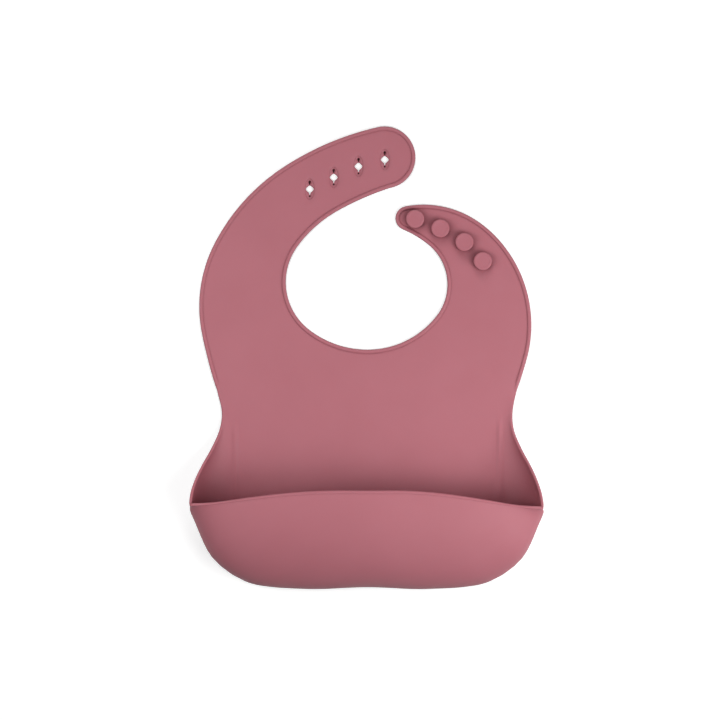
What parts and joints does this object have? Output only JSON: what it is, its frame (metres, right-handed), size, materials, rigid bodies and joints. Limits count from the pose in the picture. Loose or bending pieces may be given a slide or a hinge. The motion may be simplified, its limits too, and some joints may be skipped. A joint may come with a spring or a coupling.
{
  "type": "silicone bib",
  "caption": "Moulded silicone baby bib: a flat apron with an open catch-all pocket at its foot, a neck opening, one strap of button studs and one of slit holes.",
  "frame": {"origin": "middle of the bib's plan, at the height of the surface that it lies on", "axes": "+X to the right seen from the front, +Y towards the neck, +Z out of the bib's front face"},
  "size_m": [0.2252, 0.2996, 0.0436],
  "materials": {
    "silicone": "matte"
  },
  "bodies": {
    "apron": {"lower_apron": "silicone", "pocket_trough": "silicone", "left_corner": "silicone", "right_corner": "silicone", "left_gusset": "silicone", "right_gusset": "silicone"},
    "pocket_front": {"pocket_front": "silicone"},
    "upper_apron": {"chest_panel": "silicone", "left_shoulder": "silicone", "right_shoulder": "silicone"},
    "hole_strap_1": {"hole_strap_1": "silicone"},
    "hole_strap_2": {"hole_strap_2": "silicone"},
    "hole_strap_3": {"hole_strap_3": "silicone", "eyelet_1": "silicone"},
    "hole_strap_4": {"hole_strap_4": "silicone", "eyelet_2": "silicone"},
    "hole_strap_5": {"hole_strap_5": "silicone", "eyelet_3": "silicone"},
    "hole_strap_6": {"hole_strap_6": "silicone", "eyelet_4": "silicone"},
    "button_strap_1": {"button_strap_1": "silicone", "stud_4": "silicone"},
    "button_strap_2": {"button_strap_2": "silicone", "stud_3": "silicone"},
    "button_strap_3": {"button_strap_3": "silicone", "stud_2": "silicone"},
    "button_strap_4": {"button_strap_4": "silicone", "stud_1": "silicone"}
  },
  "joints": [
    {"name": "apron_fold", "type": "hinge", "parent": "apron", "child": "upper_apron", "pos_m": [0, -0.03909, 0.0009], "axis": [1, 0, 0], "range_deg": [0, 90], "stiffness_Nm_per_rad": 0.008},
    {"name": "pocket_flex", "type": "hinge", "parent": "apron", "child": "pocket_front", "pos_m": [0, -0.1463, 0.014], "axis": [1, 0, 0], "range_deg": [-25, 10], "stiffness_Nm_per_rad": 0.15, "springref_deg": 2.29},
    {"name": "hole_strap_curl", "type": "hinge", "parent": "upper_apron", "child": "hole_strap_1", "pos_m": [0, 0.05461, 0.0009], "axis": [0.9962, 0.0872, 0], "range_deg": [0, 18], "stiffness_Nm_per_rad": 0.003},
    {"name": "hole_strap_curl_2", "type": "hinge", "parent": "hole_strap_1", "child": "hole_strap_2", "pos_m": [0, 0.05461, 0.0009], "axis": [0.9336, -0.3584, 0], "range_deg": [0, 18], "stiffness_Nm_per_rad": 0.003},
    {"name": "hole_strap_curl_3", "type": "hinge", "parent": "hole_strap_2", "child": "hole_strap_3", "pos_m": [0, 0.05461, 0.0009], "axis": [0.682, -0.7314, 0], "range_deg": [0, 18], "stiffness_Nm_per_rad": 0.003},
    {"name": "hole_strap_curl_4", "type": "hinge", "parent": "hole_strap_3", "child": "hole_strap_4", "pos_m": [0, 0.05461, 0.0009], "axis": [0.4586, -0.8886, 0], "range_deg": [0, 18], "stiffness_Nm_per_rad": 0.003},
    {"name": "hole_strap_curl_5", "type": "hinge", "parent": "hole_strap_4", "child": "hole_strap_5", "pos_m": [0, 0.05461, 0.0009], "axis": [0.213, -0.977, 0], "range_deg": [0, 18], "stiffness_Nm_per_rad": 0.003},
    {"name": "hole_strap_curl_6", "type": "hinge", "parent": "hole_strap_5", "child": "hole_strap_6", "pos_m": [0, 0.05461, 0.0009], "axis": [-0.0349, -0.9994, 0], "range_deg": [0, 18], "stiffness_Nm_per_rad": 0.003},
    {"name": "button_strap_curl", "type": "hinge", "parent": "upper_apron", "child": "button_strap_1", "pos_m": [0, 0.05461, 0.0009], "axis": [0.9659, -0.2588, 0], "range_deg": [0, 15], "stiffness_Nm_per_rad": 0.003},
    {"name": "button_strap_curl_2", "type": "hinge", "parent": "button_strap_1", "child": "button_strap_2", "pos_m": [0, 0.05461, 0.0009], "axis": [0.981, 0.1942, 0], "range_deg": [0, 15], "stiffness_Nm_per_rad": 0.003},
    {"name": "button_strap_curl_3", "type": "hinge", "parent": "button_strap_2", "child": "button_strap_3", "pos_m": [0, 0.05461, 0.0009], "axis": [0.9184, 0.3955, 0], "range_deg": [0, 15], "stiffness_Nm_per_rad": 0.003},
    {"name": "button_strap_curl_4", "type": "hinge", "parent": "button_strap_3", "child": "button_strap_4", "pos_m": [0, 0.05461, 0.0009], "axis": [0.7716, 0.6361, 0], "range_deg": [0, 15], "stiffness_Nm_per_rad": 0.003}
  ],
  "couplings": [
    {"joint": "hole_strap_curl_2", "follows": "hole_strap_curl", "ratio": 1},
    {"joint": "hole_strap_curl_3", "follows": "hole_strap_curl", "ratio": 1},
    {"joint": "hole_strap_curl_4", "follows": "hole_strap_curl", "ratio": 1},
    {"joint": "hole_strap_curl_5", "follows": "hole_strap_curl", "ratio": 1},
    {"joint": "hole_strap_curl_6", "follows": "hole_strap_curl", "ratio": 1},
    {"joint": "button_strap_curl_2", "follows": "button_strap_curl", "ratio": 1},
    {"joint": "button_strap_curl_3", "follows": "button_strap_curl", "ratio": 1},
    {"joint": "button_strap_curl_4", "follows": "button_strap_curl", "ratio": 1}
  ]
}
